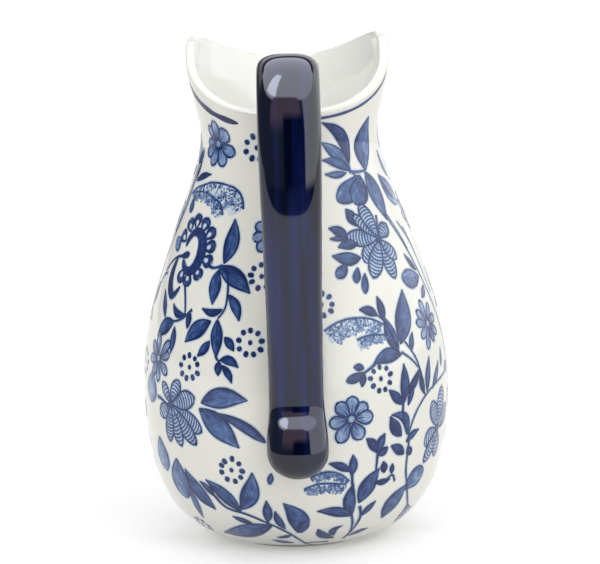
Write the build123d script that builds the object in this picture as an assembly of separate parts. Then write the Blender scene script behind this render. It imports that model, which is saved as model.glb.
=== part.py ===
"""Porcelain cream jug: pear-shaped thrown body with a saddle-shaped pouring mouth,
unglazed foot ring, and an arched strap handle with a kicked-out thumb end.

Millimetres.  The jug stands on z = 0 with its axis on z, the spout points along +Y
and the handle stands on the -Y side.
"""
import math
import os

from build123d import *

os.makedirs("parts", exist_ok=True)

# ---- overall ---------------------------------------------------------------
JUG_HEIGHT = 130.0          # tip of the two side wings of the mouth, and the handle arch
MOUTH_WALL = 2.5            # wall of the neck and mouth, glaze included
LIP_ROUND = 0.8             # softened edge of the mouth

# ---- foot ring -------------------------------------------------------------
FOOT_OUTER_R = 17.0
FOOT_INNER_R = 13.6
FOOT_RING_TOP = 3.0         # how far the ring is let into the base
FOOT_ROUND = 0.4
UNDERSIDE_Z = 1.6           # glazed underside inside the ring
BASE_START_Z = 0.8          # the belly leaves the ring this far above the table

# ---- lower body: radius of the outside and of the inside by height ----------
JOIN_Z = 90.0               # thrown round below this height, shaped mouth above it
JOIN_SLOPE = -0.36          # change of radius with height at that level
BELLY = [(FOOT_OUTER_R, BASE_START_Z), (22.6, 1.9), (27.0, 4.4), (31.8, 9.0), (35.8, 16.0), (38.2, 25.0),
         (39.3, 35.0), (39.3, 45.0), (37.9, 56.0), (34.7, 68.0), (30.7, 80.0), (26.9, JOIN_Z)]
CAVITY = [(0.0, 5.2), (12.0, 5.4), (20.0, 6.4), (26.0, 9.4), (31.0, 14.4), (34.6, 21.5),
          (36.6, 31.0), (36.95, 42.0), (36.0, 53.0), (33.2, 64.8), (29.6, 76.0), (24.4, JOIN_Z)]

# ---- mouth: height, half width at the sides, reach of the spout, reach at the back ----
MOUTH = [(90.0, 26.9, 26.9, 26.9), (91.5, 26.36, 26.36, 26.36), (93.5, 25.66, 25.66, 25.66),
         (97.0, 24.5, 24.7, 24.5), (100.0, 23.65, 24.3, 23.5), (103.0, 23.0, 24.6, 22.8),
         (106.0, 22.8, 25.6, 22.5), (109.0, 23.05, 27.0, 22.5), (113.0, 23.9, 29.3, 22.8),
         (118.0, 25.0, 32.4, 23.4), (123.0, 25.85, 35.3, 24.0), (128.0, 26.3, 37.9, 24.5),
         (134.0, 26.6, 40.5, 25.0)]
SPOUT_PINCH = 0.22          # share by which the plan narrows toward the spout
PINCH_FROM_Z = 97.0
PINCH_FULL_Z = 122.0

# ---- rim seen from the side: distance along Y and height --------------------
RIM_SIDE = [(-34.0, 113.4), (-22.5, 113.9), (-15.0, 116.4), (-7.0, 120.7), (0.0, 125.2),
            (4.5, 128.5), (9.5, JUG_HEIGHT), (14.5, 129.4), (20.5, 127.3), (27.0, 124.2),
            (31.5, 122.1), (35.0, 121.2), (44.0, 120.4)]
TRIM_TOP = 150.0            # the waste cut away over the rim reaches this height

# ---- handle: middle line of the strap from neck to belly, with width and thickness ----
HANDLE = [(-15.5, 103.0, 15.8, 11.0), (-20.6, 107.6, 15.8, 10.6), (-25.6, 114.2, 15.8, 9.8),
          (-29.2, 121.9, 15.8, 9.6), (-35.2, 126.0, 15.8, 9.6), (-42.4, 122.0, 15.9, 9.4),
          (-46.6, 111.5, 16.0, 9.4), (-47.9, 98.0, 15.5, 9.4), (-47.2, 84.0, 14.8, 9.4),
          (-45.6, 70.0, 14.2, 9.3), (-43.8, 56.0, 13.9, 9.2), (-42.5, 46.5, 13.8, 9.1),
          (-42.3, 41.8, 14.0, 9.2), (-43.1, 38.2, 14.7, 10.4), (-44.4, 35.0, 15.4, 12.0),
          (-45.2, 31.4, 15.8, 13.0)]
TIP_LENGTH = 7.2            # rounded thumb end beyond the last station


def pinch(z):
    """Narrowing of the plan toward the spout at height z."""
    t = min(1.0, max(0.0, (z - PINCH_FROM_Z) / (PINCH_FULL_Z - PINCH_FROM_Z)))
    return SPOUT_PINCH * t * t * (3 - 2 * t)


def mouth_section(z, side, spout, back, inset=0.0):
    """Closed plan at height z: a circle at the join, an egg pinched at the spout above it."""
    if side == spout == back:
        return Pos(0, 0, z) * Circle(side - inset)
    points = []
    for step in range(24):
        angle = 2 * math.pi * step / 24
        toward_spout = math.sin(angle)
        reach = (spout if toward_spout > 0 else back) - inset
        width = (side - inset) * (1 - pinch(z) * max(0.0, toward_spout) ** 2)
        points.append((width * math.cos(angle), reach * toward_spout, z))
    return Face(Wire([Spline(*points, periodic=True)]))


def turned(profile, start_tangent, closing):
    """Solid of revolution about z from a smooth (radius, height) profile."""
    curve = Spline(*[(r, 0, z) for r, z in profile],
                   tangents=[start_tangent, (JOIN_SLOPE, 0, 1)], tangent_scalars=[1, 1])
    rest = Polyline(*[(r, 0, z) for r, z in closing])
    return revolve(Face(Wire([curve, *rest.edges()])), Axis.Z)


# ---- body ------------------------------------------------------------------
belly = turned(BELLY, (1, 0, 0.08), [BELLY[-1], (0, JOIN_Z), (0, BASE_START_Z), BELLY[0]])
neck = loft([mouth_section(*row) for row in MOUTH])
outside = belly + neck

cavity = turned(CAVITY, (1, 0, 0), [CAVITY[-1], (0, JOIN_Z), CAVITY[0]])
throat = loft([mouth_section(*row, inset=MOUTH_WALL) for row in MOUTH])
inside = cavity + throat

rim_line = Spline(*[(0, y, z) for y, z in RIM_SIDE])
(back_y, back_z), (front_y, front_z) = RIM_SIDE[0], RIM_SIDE[-1]
above_rim = Polyline((0, front_y, front_z), (0, front_y, TRIM_TOP), (0, back_y, TRIM_TOP),
                     (0, back_y, back_z))
trim = extrude(Face(Wire([rim_line, *above_rim.edges()])), amount=50, dir=(1, 0, 0), both=True)

foot_seat = Cylinder(FOOT_OUTER_R, FOOT_RING_TOP, align=(Align.CENTER, Align.CENTER, Align.MIN))
underside = Cylinder(FOOT_INNER_R, UNDERSIDE_Z, align=(Align.CENTER, Align.CENTER, Align.MIN))
core = Pos(0, 0, UNDERSIDE_Z) * Cylinder(FOOT_INNER_R, FOOT_RING_TOP - UNDERSIDE_Z,
                                         align=(Align.CENTER, Align.CENTER, Align.MIN))
seat_ring = foot_seat - underside - core

body = outside - trim - inside - seat_ring - underside
rim_edges = [e for e in body.edges() if e.bounding_box().max.Z > JUG_HEIGHT - 4
             and e.bounding_box().size.Y > 20]
body = fillet(rim_edges, LIP_ROUND)

# ---- foot ring -------------------------------------------------------------
ring = Cylinder(FOOT_OUTER_R, FOOT_RING_TOP, align=(Align.CENTER, Align.CENTER, Align.MIN))
ring -= Cylinder(FOOT_INNER_R, FOOT_RING_TOP, align=(Align.CENTER, Align.CENTER, Align.MIN))
ring = fillet([e for e in ring.edges() if e.center().Z < 0.01 and e.geom_type == GeomType.CIRCLE],
              FOOT_ROUND)

# ---- handle ----------------------------------------------------------------
spine = Spline(*[(0, y, z) for y, z, _, _ in HANDLE])


def strap_section(at, tangent, width, thick):
    """Oval cut through the strap, square to its middle line."""
    return Plane(origin=at, x_dir=(1, 0, 0), z_dir=tangent) * Ellipse(width / 2, thick / 2)


sections = []
for y, z, width, thick in HANDLE:
    at = spine.param_at_point((0, y, z))
    sections.append(strap_section((0, y, z), spine.tangent_at(at), width, thick))
strap = loft(sections)
tip_at, tip_dir = spine @ 1, spine % 1
tips = []
for degrees in (0, 22, 40, 55, 67, 77, 84):
    angle = math.radians(degrees)
    centre = tip_at + tip_dir * (TIP_LENGTH * math.sin(angle))
    tips.append(strap_section(centre, tip_dir, HANDLE[-1][2] * math.cos(angle),
                              HANDLE[-1][3] * math.cos(angle)))
thumb = loft(tips)
handle = strap + thumb - outside

for name, solid, colour in (("jug_body", body, (0.93, 0.94, 0.93)),
                            ("foot_ring", ring, (0.86, 0.84, 0.80)),
                            ("handle", handle, (0.02, 0.04, 0.18))):
    solid.label = name
    solid.color = Color(*colour)
    box = solid.bounding_box()
    print(name, "valid", solid.is_valid, "volume", round(solid.volume), "solids", len(solid.solids()),
          [round(v, 2) for v in (*box.min, *box.max)])
    export_step(solid, f"parts/{name}.step")
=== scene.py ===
"""Looks of a porcelain cream jug: glazed body with blue brushwork, cobalt strap handle,
bare foot ring, and the plain pale stage it stands on.

Lengths inside the shape functions are millimetres; meshes are written in metres.
Angles round the jug are degrees from the handle, growing toward +X.
"""
import math

import bmesh
import bpy
import numpy as np
from mathutils import Matrix, Vector


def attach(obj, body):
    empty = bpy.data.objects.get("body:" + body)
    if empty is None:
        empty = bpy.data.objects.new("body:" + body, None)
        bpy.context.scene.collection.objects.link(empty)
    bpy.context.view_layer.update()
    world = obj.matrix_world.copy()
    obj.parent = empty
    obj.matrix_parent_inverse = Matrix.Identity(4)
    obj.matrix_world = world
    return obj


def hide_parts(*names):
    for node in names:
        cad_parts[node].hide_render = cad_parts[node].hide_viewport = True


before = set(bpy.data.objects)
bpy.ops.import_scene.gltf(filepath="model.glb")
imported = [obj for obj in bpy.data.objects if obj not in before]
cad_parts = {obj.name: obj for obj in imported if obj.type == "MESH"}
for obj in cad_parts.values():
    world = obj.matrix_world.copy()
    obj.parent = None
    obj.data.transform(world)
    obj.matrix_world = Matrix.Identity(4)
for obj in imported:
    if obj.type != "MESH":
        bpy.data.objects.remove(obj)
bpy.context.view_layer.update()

bl_info = {
    "name": "Porcelain Cream Jug",
    "version": (1, 0, 0),
    "blender": (4, 5, 0),
    "location": "View3D > Sidebar > Jug",
    "description": "Builds the glazed body, handle, foot ring and brushwork of a cream jug",
    "category": "Object",
}

MM = 0.001

# ---- shape of the jug, repeated from the part's source -------------------------
FOOT_OUTER_R = 17.0
FOOT_INNER_R = 13.6
FOOT_RING_TOP = 3.0         # how far the ring is let into the base
UNDERSIDE_Z = 1.6           # glazed underside inside the ring
JOIN_Z = 90.0               # thrown round below this height, shaped mouth above it
JOIN_SLOPE = -0.36          # change of radius with height at that level
# outside and inside of the thrown body: radius, height
BELLY = [(FOOT_OUTER_R, 0.8), (22.6, 1.9), (27.0, 4.4), (31.8, 9.0), (35.8, 16.0), (38.2, 25.0),
         (39.3, 35.0), (39.3, 45.0), (37.9, 56.0), (34.7, 68.0), (30.7, 80.0), (26.9, JOIN_Z)]
CAVITY = [(0.0, 5.2), (12.0, 5.4), (20.0, 6.4), (26.0, 9.4), (31.0, 14.4), (34.6, 21.5),
          (36.6, 31.0), (36.95, 42.0), (36.0, 53.0), (33.2, 64.8), (29.6, 76.0), (24.4, JOIN_Z)]
# mouth: height, half width at the sides, reach of the spout, reach at the back
MOUTH = [(90.0, 26.9, 26.9, 26.9), (91.5, 26.36, 26.36, 26.36), (93.5, 25.66, 25.66, 25.66),
         (97.0, 24.5, 24.7, 24.5), (100.0, 23.65, 24.3, 23.5), (103.0, 23.0, 24.6, 22.8),
         (106.0, 22.8, 25.6, 22.5), (109.0, 23.05, 27.0, 22.5), (113.0, 23.9, 29.3, 22.8),
         (118.0, 25.0, 32.4, 23.4), (123.0, 25.85, 35.3, 24.0), (128.0, 26.3, 37.9, 24.5),
         (134.0, 26.6, 40.5, 25.0)]
SPOUT_PINCH = 0.22          # share by which the plan narrows toward the spout
PINCH_FROM_Z = 97.0
PINCH_FULL_Z = 122.0
MOUTH_WALL = 2.5            # wall of the neck and mouth
# rim seen from the side: distance along Y, height
RIM_SIDE = [(-34.0, 113.4), (-22.5, 113.9), (-15.0, 116.4), (-7.0, 120.7), (0.0, 125.2),
            (4.5, 128.5), (9.5, 130.0), (14.5, 129.4), (20.5, 127.3), (27.0, 124.2),
            (31.5, 122.1), (35.0, 121.2), (44.0, 120.4)]
# middle line of the strap from neck to belly: distance along Y, height, width, thickness
HANDLE = [(-15.5, 103.0, 15.8, 11.0), (-20.6, 107.6, 15.8, 10.6), (-25.6, 114.2, 15.8, 9.8),
          (-29.2, 121.9, 15.8, 9.6), (-35.2, 126.0, 15.8, 9.6), (-42.4, 122.0, 15.9, 9.4),
          (-46.6, 111.5, 16.0, 9.4), (-47.9, 98.0, 15.5, 9.4), (-47.2, 84.0, 14.8, 9.4),
          (-45.6, 70.0, 14.2, 9.3), (-43.8, 56.0, 13.9, 9.2), (-42.5, 46.5, 13.8, 9.1),
          (-42.3, 41.8, 14.0, 9.2), (-43.1, 38.2, 14.7, 10.4), (-44.4, 35.0, 15.4, 12.0),
          (-45.2, 31.4, 15.8, 13.0)]
TIP_LENGTH = 7.2            # rounded thumb end beyond the last of those places

# ---- finish of the edges, and how finely each surface is divided ----------------
LIP_HEIGHT = 1.0            # height of the lip's rounding
LIP_SQUARENESS = 0.75       # power of the sine and cosine: 1 is an ellipse, less is flatter
STRAP_SQUARENESS = 0.76
STRAP_SUNK = 1.2            # depth of the strap's hidden ends under the body's skin
AROUND_BODY = 256
AROUND_STRAP = 72
BELLY_ROWS = 110
MOUTH_ROWS = 43
LIP_ROWS = 11
CAVITY_ROWS = 60
STRAP_ROWS = 220
TIP_ROWS = 15
SIZE_BLEND = 6              # rows either side over which the strap's size is evened out
PROFILE_POINTS = 1200       # points read off along the belly and the cavity
EDGE_POINTS = 600           # and along the mouth and the rim


def smooth_through(points, samples, start=None, end=None):
    """Cubic curve with continuous curvature through the points, by chord length.
    start and end fix the end directions; left out, the curve ends straight."""
    points = np.asarray(points, float)
    chord = np.r_[0.0, np.cumsum(np.linalg.norm(np.diff(points, axis=0), axis=1))]
    gap = np.diff(chord)
    count = len(points)
    slope = np.diff(points, axis=0) / gap[:, None]
    matrix = np.zeros((count, count))
    right = np.zeros_like(points)
    inner = np.arange(1, count - 1)
    matrix[inner, inner - 1] = gap[:-1]
    matrix[inner, inner + 1] = gap[1:]
    matrix[inner, inner] = 2 * (gap[:-1] + gap[1:])
    right[inner] = 6 * (slope[1:] - slope[:-1])
    matrix[0, 0] = matrix[-1, -1] = 1.0
    if start is not None:
        matrix[0, :2] = 2 * gap[0], gap[0]
        right[0] = 6 * (slope[0] - np.asarray(start) / np.linalg.norm(start))
    if end is not None:
        matrix[-1, -2:] = gap[-1], 2 * gap[-1]
        right[-1] = 6 * (np.asarray(end) / np.linalg.norm(end) - slope[-1])
    bend = np.linalg.solve(matrix, right)
    at = np.linspace(0, chord[-1], samples)
    k = np.clip(np.searchsorted(chord, at, side="right") - 1, 0, count - 2)
    t = (at - chord[k])[:, None]
    h = gap[k][:, None]
    return (points[k] + t * (slope[k] - h * (2 * bend[k] + bend[k + 1]) / 6)
            + t ** 2 * bend[k] / 2 + t ** 3 * (bend[k + 1] - bend[k]) / (6 * h))


BELLY_LINE = smooth_through(BELLY, PROFILE_POINTS, (1, 0.08), (JOIN_SLOPE, 1))
CAVITY_LINE = smooth_through(CAVITY, PROFILE_POINTS, (1, 0), (JOIN_SLOPE, 1))
MOUTH_LINE = smooth_through(MOUTH, EDGE_POINTS)
RIM_LINE = smooth_through(RIM_SIDE, EDGE_POINTS)


def half_plan(z, inset):
    """Side half width, spout reach and back reach of the outside at height z, or of the
    inside where inset is above 0: the turned profile below the join, the shaped mouth above."""
    low = np.interp(z, BELLY_LINE[:, 1], BELLY_LINE[:, 0])
    cave = np.interp(z, CAVITY_LINE[:, 1], CAVITY_LINE[:, 0])
    share = np.clip(inset / MOUTH_WALL, 0, 1)
    turned = low + (cave - low) * share
    return [np.where(z < JOIN_Z, turned, np.interp(z, MOUTH_LINE[:, 0], MOUTH_LINE[:, c]) - inset)
            for c in (1, 2, 3)]


def wall(angle, z, inset=0.0):
    """Point of the wall: x = width sin(a), y = -reach cos(a), where the reach changes from
    handle side to spout side and the width narrows with the square of cos toward the spout."""
    angle, z, inset = np.broadcast_arrays(np.radians(angle), np.asarray(z, float), inset)
    side, spout, back = half_plan(z, inset)
    toward_spout = -np.cos(angle)
    t = np.clip((z - PINCH_FROM_Z) / (PINCH_FULL_Z - PINCH_FROM_Z), 0, 1)
    pinch = SPOUT_PINCH * t * t * (3 - 2 * t) * np.clip(toward_spout, 0, None) ** 2
    reach = np.where(toward_spout > 0, spout, back)
    return np.stack([side * (1 - pinch) * np.sin(angle), reach * toward_spout, z], -1)


def rim_height(angle, inset=0.0):
    """Height of the saddle-shaped rim: the side-view curve z(y), met by the wall at that angle.
    Each round goes half of the way to the curve's height over the wall's present place."""
    z = np.full(np.shape(angle), 120.0)
    for _ in range(25):
        y = wall(angle, z, inset)[..., 1]
        z = 0.5 * z + 0.5 * np.interp(y, RIM_LINE[:, 0], RIM_LINE[:, 1])
    return z


def flattened(wave, power):
    """A sine or cosine to a power, with its sign kept: it makes an oval squarer."""
    return np.sign(wave) * np.abs(wave) ** power


def grid_faces(rows, columns, wrap_columns=False, start=0):
    """Quads of a rows x columns grid of points, each row closed on itself on request."""
    c = np.arange(columns if wrap_columns else columns - 1)
    r, c = np.meshgrid(np.arange(rows - 1), c, indexing="ij")
    here = r * columns
    above = here + columns
    beside = (c + 1) % columns
    return np.stack([here + c, here + beside, above + beside, above + c], -1).reshape(-1, 4) + start


def make_object(name, points, quads, material, uv=None):
    """Mesh object from points in mm and quads, smooth shaded, riding on the jug's only body."""
    mesh = bpy.data.meshes.new(name)
    points = np.asarray(points, float).reshape(-1, 3) * MM
    quads = np.asarray(quads, np.int32)
    mesh.vertices.add(len(points))
    mesh.vertices.foreach_set("co", points.ravel())
    mesh.loops.add(quads.size)
    mesh.loops.foreach_set("vertex_index", quads.ravel())
    mesh.polygons.add(len(quads))
    mesh.polygons.foreach_set("loop_start", np.arange(0, quads.size, 4, dtype=np.int32))
    if uv is not None:
        layer = mesh.uv_layers.new(name="brush")
        layer.data.foreach_set("uv", np.asarray(uv, float).reshape(-1, 2)[quads.ravel()].ravel())
    mesh.materials.append(material)
    mesh.polygons.foreach_set("use_smooth", np.ones(len(quads), bool))
    mesh.validate()
    mesh.update()
    piece = bpy.data.objects.new(name, mesh)
    bpy.context.scene.collection.objects.link(piece)
    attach(piece, "root")
    return piece


def weld(piece, distance=1e-6):
    """Merge the doubled points at seams and poles, closer than distance in metres, and turn the
    faces outward."""
    mesh = bmesh.new()
    mesh.from_mesh(piece.data)
    bmesh.ops.remove_doubles(mesh, verts=mesh.verts, dist=distance)
    bmesh.ops.recalc_face_normals(mesh, faces=mesh.faces)
    mesh.to_mesh(piece.data)
    mesh.free()


# ---- materials ---------------------------------------------------------------
def linear(text):
    """Linear colour from an sRGB hex value such as "E7E8E1"."""
    values = [int(text[i:i + 2], 16) / 255 for i in (0, 2, 4)]
    return tuple(v / 12.92 if v <= 0.04045 else ((v + 0.055) / 1.055) ** 2.4 for v in values) + (1,)


def rgba(colour):
    """A colour setting, which has no alpha, as a socket takes it."""
    return (*colour, 1.0)


def cells(size):
    """Scale of a noise whose cells are about size millimetres across."""
    return 1 / (size * MM)


def node(owner, kind, links=(), **settings):
    """Adds a node to a material or world. Settings that start with an underscore fill its
    sockets, others its attributes; links join its sockets to (node, output) pairs."""
    tree = owner.node_tree
    made = tree.nodes.new(kind)
    for key, value in settings.items():
        if key.startswith("_"):
            socket = key[1:].replace("_", " ")
            made.inputs[int(socket) if socket.isdigit() else socket].default_value = value
        else:
            setattr(made, key, value)
    for socket, (source, output) in dict(links).items():
        tree.links.new(source.outputs[output], made.inputs[socket])
    return made


def empty_nodes(owner):
    """The same material or world, with nodes in use and none in its tree yet."""
    owner.use_nodes = True
    owner.node_tree.nodes.clear()
    return owner


def rippled_gloss(m, where, colour, ripple, swell, **surface):
    """Gloss surface in a colour, whose skin swells slowly where the glaze ran before it set,
    in waves about ripple millimetres apart, so that what it mirrors wavers a little."""
    wave = node(m, "ShaderNodeTexNoise", {"Vector": (where, "Object")}, _Scale=cells(ripple), _Detail=1.0)
    bump = node(m, "ShaderNodeBump", {"Height": (wave, "Fac")}, _Strength=0.03, _Distance=swell * MM)
    shader = node(m, "ShaderNodeBsdfPrincipled", {"Base Color": colour, "Normal": (bump, "Normal")},
                  **surface)
    node(m, "ShaderNodeOutputMaterial", {"Surface": (shader, 0)})


def glazed_porcelain():
    """Hard-paste porcelain under clear gloss glaze: warm white, mirror-like, with a faint grey-blue cast in
    patches 22 mm across where the glaze lies thicker, and painted whiter inside the jug as painted light
    for the brightness that fills it."""
    settings = bpy.context.scene.jug
    m = empty_nodes(bpy.data.materials.new("glazed_porcelain"))
    where = node(m, "ShaderNodeTexCoord")
    cast = node(m, "ShaderNodeTexNoise", {"Vector": (where, "Object")}, _Scale=cells(22.2), _Detail=2.0)
    tint = node(m, "ShaderNodeValToRGB", {"Fac": (cast, "Fac")})
    thick, thin = tint.color_ramp.elements
    thick.position, thin.position = 0.3, 0.7
    thick.color, thin.color = rgba(settings.glaze_thick), rgba(settings.glaze)
    # painted light: the inside of the jug takes a whiter colour that stands in for the light filling it
    inner = node(m, "ShaderNodeAttribute", attribute_name="inner", attribute_type="GEOMETRY")
    skin = node(m, "ShaderNodeMix", {0: (inner, "Fac"), 6: (tint, "Color")}, data_type="RGBA",
                _7=rgba(settings.glaze_inside_painted_light))
    rippled_gloss(m, where, (skin, 2), ripple=11.1, swell=0.4, _Roughness=0.09, _IOR=1.5)
    return m


def cobalt_glaze():
    """Thick cobalt glaze over porcelain: near-black blue, very glossy, pooled thicker in patches, with
    painted shade that darkens it on the arch and at the thumb end, and bluer streaks down the straight
    strap where the brush left it thin, about 2.6 mm across and 53 mm long."""
    settings = bpy.context.scene.jug
    m = empty_nodes(bpy.data.materials.new("cobalt_glaze"))
    where = node(m, "ShaderNodeTexCoord")
    drawn = node(m, "ShaderNodeMapping", {"Vector": (where, "Object")}, _Scale=(9.0, 1.0, 0.45))
    pool = node(m, "ShaderNodeTexNoise", {"Vector": (drawn, 0)}, _Scale=cells(23.8), _Detail=3.0)
    # painted shade: how much darker it is made near the thumb end and on the arch, by height in metres
    height = node(m, "ShaderNodeSeparateXYZ", {"Vector": (where, "Object")})
    end = node(m, "ShaderNodeMapRange", {"Value": (height, "Z")}, _1=0.034, _2=0.046, _3=-0.13, _4=0.0)
    arch = node(m, "ShaderNodeMapRange", {"Value": (height, "Z")}, _1=0.086, _2=0.1, _3=0.0, _4=-0.13)
    pool_and_end_shade = node(m, "ShaderNodeMath", {0: (pool, "Fac"), 1: (end, "Result")}, operation="ADD")
    coat_and_shade = node(m, "ShaderNodeMath", {0: (pool_and_end_shade, 0), 1: (arch, "Result")}, operation="ADD")
    tint = node(m, "ShaderNodeValToRGB", {"Fac": (coat_and_shade, 0)})
    thick, thin = tint.color_ramp.elements
    thick.position, thin.position = 0.36, 0.78
    thick.color, thin.color = rgba(settings.handle_thick_and_shaded), rgba(settings.handle_thin)
    rippled_gloss(m, where, (tint, "Color"), ripple=9.1, swell=0.5, _Roughness=0.05, _IOR=1.55)
    return m


def bare_porcelain():
    """Unglazed biscuit porcelain: matt, slightly warm from handling. Its grain, too fine to show
    on the real thing, is drawn 0.4 mm across."""
    m = empty_nodes(bpy.data.materials.new("bare_porcelain"))
    where = node(m, "ShaderNodeTexCoord")
    grain = node(m, "ShaderNodeTexNoise", {"Vector": (where, "Object")}, _Scale=cells(0.4), _Detail=2.0)
    tint = node(m, "ShaderNodeValToRGB", {"Fac": (grain, "Fac")})
    hollow, high = tint.color_ramp.elements
    hollow.position, high.position = 0.3, 0.7
    hollow.color, high.color = linear("C9C0B2"), linear("E0DBD0")
    bump = node(m, "ShaderNodeBump", {"Height": (grain, "Fac")}, _Strength=0.3, _Distance=0.1 * MM)
    shader = node(m, "ShaderNodeBsdfPrincipled",
                  {"Base Color": (tint, "Color"), "Normal": (bump, "Normal")}, _Roughness=0.75, _IOR=1.5)
    node(m, "ShaderNodeOutputMaterial", {"Surface": (shader, 0)})
    return m


def cobalt_brushwork():
    """Cobalt oxide brushed on under the glaze: pale where the wash is thin, navy where the brush
    was loaded, clouded 2 mm across and streaked about 14 times across a stroke and 3 along it;
    the clear glaze over it is as glossy as the white."""
    settings = bpy.context.scene.jug
    m = empty_nodes(bpy.data.materials.new("cobalt_brushwork"))
    tone = node(m, "ShaderNodeAttribute", attribute_name="tone", attribute_type="GEOMETRY")
    where = node(m, "ShaderNodeTexCoord")
    pool = node(m, "ShaderNodeTexNoise", {"Vector": (where, "Object")}, _Scale=cells(1.923), _Detail=3.0)
    drawn = node(m, "ShaderNodeMapping", {"Vector": (where, "UV")}, _Scale=(1.5, 7.0, 1.0))
    streak = node(m, "ShaderNodeTexNoise", {"Vector": (drawn, "Vector")}, _Scale=2.0, _Detail=2.0)
    mixed = node(m, "ShaderNodeMath", {0: (pool, "Fac"), 1: (streak, "Fac")}, operation="ADD")
    centred = node(m, "ShaderNodeMath", {0: (mixed, 0)}, operation="SUBTRACT", _1=1.0)
    drift = node(m, "ShaderNodeMath", {0: (centred, 0), 2: (tone, "Fac")}, operation="MULTIPLY_ADD", _1=0.5)
    ramp = node(m, "ShaderNodeValToRGB", {"Fac": (drift, 0)})
    stops = ramp.color_ramp.elements
    stops[0].color = rgba(settings.brush_pale)
    stops[1].color = rgba(settings.brush_dark)
    for position, colour in ((0.27, "A6BCD5"), (0.44, "6683B0"), (0.58, "426096"), (0.78, "20376F")):
        stops.new(position).color = linear(colour)
    rippled_gloss(m, where, (ramp, "Color"), ripple=11.1, swell=0.4, _Roughness=0.09, _IOR=1.5)
    return m


# ---- pieces --------------------------------------------------------------------
def body_surface():
    """Closed skin of the body: for each angle, the line underside - seat - outside - rounded
    lip - inside - floor, whose outside and inside run up to the rim height of that angle.
    With the points comes a value for each, 1 inside the jug and 0 elsewhere."""
    angle = np.arange(AROUND_BODY) * 360 / AROUND_BODY
    column = angle[None, :]
    top_out = rim_height(angle)
    top_in = rim_height(angle, MOUTH_WALL)
    rise = np.linspace(0, 1, MOUTH_ROWS + 1)[1:, None]
    belly_z = BELLY_LINE[np.linspace(0, len(BELLY_LINE) - 1, BELLY_ROWS).astype(int), 1]
    z_out = np.vstack([np.repeat(belly_z[:, None], AROUND_BODY, 1),
                       JOIN_Z + rise * (top_out - LIP_HEIGHT - JOIN_Z)])
    outside = wall(column, z_out)
    turn = np.linspace(0, math.pi, LIP_ROWS + 2)[1:-1, None]
    across = 0.5 - 0.5 * flattened(np.cos(turn), LIP_SQUARENESS)
    lip_z = (top_out + (top_in - top_out) * across - LIP_HEIGHT
             + LIP_HEIGHT * np.sin(turn) ** LIP_SQUARENESS)
    lip = wall(column, lip_z, MOUTH_WALL * across)
    cave_z = CAVITY_LINE[np.linspace(len(CAVITY_LINE) - 1, 0, CAVITY_ROWS).astype(int), 1]
    z_in = np.vstack([JOIN_Z + rise[::-1] * (top_in - LIP_HEIGHT - JOIN_Z),
                      np.repeat(cave_z[:, None], AROUND_BODY, 1)])
    inside = wall(column, z_in, MOUTH_WALL)
    inside[-1, :, :2] = 0
    base = np.array([(0, UNDERSIDE_Z), (FOOT_INNER_R * 0.5, UNDERSIDE_Z), (FOOT_INNER_R, UNDERSIDE_Z),
                     (FOOT_INNER_R, FOOT_RING_TOP), (FOOT_OUTER_R, FOOT_RING_TOP)])
    turned = np.radians(column)
    under = np.stack([base[:, :1] * np.sin(turned), -base[:, :1] * np.cos(turned),
                      np.repeat(base[:, 1:], AROUND_BODY, 1)], -1)
    inner = np.repeat([0.0, 1.0], (len(under) + len(outside) + len(lip), len(inside)))
    return np.concatenate([under, outside, lip, inside]), np.repeat(inner, AROUND_BODY)


def handle_surface():
    """Flattened oval carried along the strap's middle line, closed at the thumb end by the same
    oval shrinking with the cosine while it advances with the sine."""
    rows = np.asarray(HANDLE)
    line = smooth_through(rows[:, :2], STRAP_ROWS)
    chord = np.r_[0, np.cumsum(np.linalg.norm(np.diff(rows[:, :2], axis=0), axis=1))]
    length = np.linspace(0, chord[-1], len(line))
    size = np.stack([np.interp(length, chord, rows[:, 2]), np.interp(length, chord, rows[:, 3])], -1)
    kernel = np.hanning(2 * SIZE_BLEND + 1)
    kernel /= kernel.sum()
    size = np.stack([np.convolve(np.pad(s, SIZE_BLEND, "edge"), kernel, "valid") for s in size.T], -1)
    tangent = np.gradient(line, axis=0)
    tangent /= np.linalg.norm(tangent, axis=1)[:, None]
    turn = np.linspace(0, math.pi / 2, TIP_ROWS + 1)[1:, None]
    line = np.vstack([line, line[-1] + TIP_LENGTH * np.sin(turn) * tangent[-1]])
    size = np.vstack([size, size[-1] * np.maximum(np.cos(turn), 0.0)])
    tangent = np.vstack([tangent, np.repeat(tangent[-1:], len(turn), 0)])
    normal = np.stack([tangent[:, 1], -tangent[:, 0]], -1)
    phase = np.linspace(0, 2 * math.pi, AROUND_STRAP, endpoint=False)[None, :]
    x = size[:, :1] / 2 * flattened(np.cos(phase), STRAP_SQUARENESS)
    out = size[:, 1:] / 2 * flattened(np.sin(phase), STRAP_SQUARENESS)
    points = np.stack([x, line[:, :1] + out * normal[:, :1], line[:, 1:] + out * normal[:, 1:]], -1)
    return keep_out_of_jug(points, STRAP_SUNK)


def keep_out_of_jug(points, depth):
    """Points deeper than depth under the outside are drawn out to that depth, along the radius.
    The skin on the same radius is found by turning its angle back by what it is off."""
    wanted = np.degrees(np.arctan2(points[..., 0], -points[..., 1]))
    angle = wanted
    skin = wall(angle, points[..., 2])
    for _ in range(4):
        found = np.degrees(np.arctan2(skin[..., 0], -skin[..., 1]))
        angle = angle - (found - wanted)
        skin = wall(angle, points[..., 2])
    radius = np.hypot(points[..., 0], points[..., 1])
    limit = np.hypot(skin[..., 0], skin[..., 1]) - depth
    factor = np.where(radius < limit, limit / np.maximum(radius, 1e-6), 1.0)
    return np.concatenate([points[..., :2] * factor[..., None], points[..., 2:]], -1)


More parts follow.
